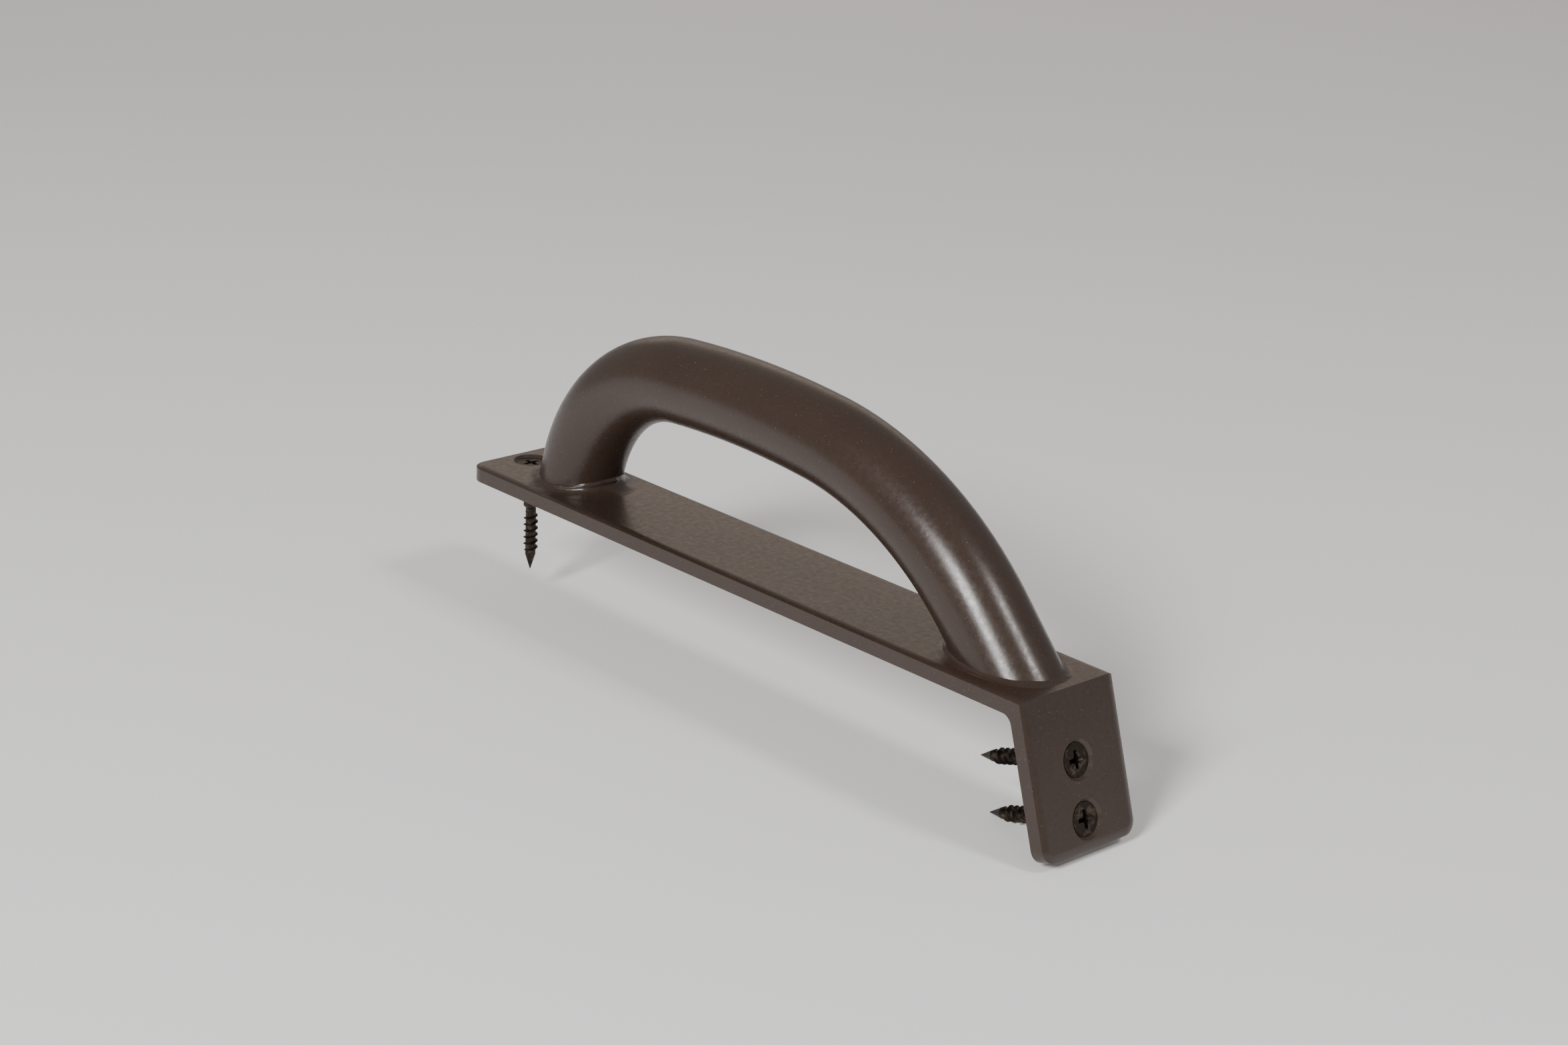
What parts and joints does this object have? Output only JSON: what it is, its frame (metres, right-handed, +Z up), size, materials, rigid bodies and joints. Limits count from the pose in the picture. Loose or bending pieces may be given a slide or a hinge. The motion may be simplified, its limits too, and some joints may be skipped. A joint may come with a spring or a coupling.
{
  "type": "grab handle",
  "caption": "Bent round tube welded onto an L-shaped plate bracket that screws over the top and front end of a rail, as a hand grip",
  "frame": {"origin": "on the underside of the top plate, half way along its 200 mm length and half way across it", "axes": "+X runs along the rail to its front end and the end plate, +Y across the rail, +Z up out of the rail's top face"},
  "size_m": [0.2107, 0.03, 0.0865],
  "materials": {
    "bow_coat": "satin dark-bronze powder coat with a fine orange-peel texture",
    "plate_coat": "satin dark-bronze powder coat with a fine orange-peel texture",
    "weld_coat": "satin dark-bronze powder coat over ground weld metal",
    "screw_black": "blackened steel with aged brown speckle"
  },
  "bodies": {
    "root": {"bow_tube": "bow_coat", "top_plate": "plate_coat", "end_plate": "plate_coat", "corner_weld": "weld_coat", "rear_foot_weld": "weld_coat", "front_foot_weld": "weld_coat", "rear_screw": "screw_black", "upper_end_screw": "screw_black", "lower_end_screw": "screw_black"}
  },
  "joints": []
}
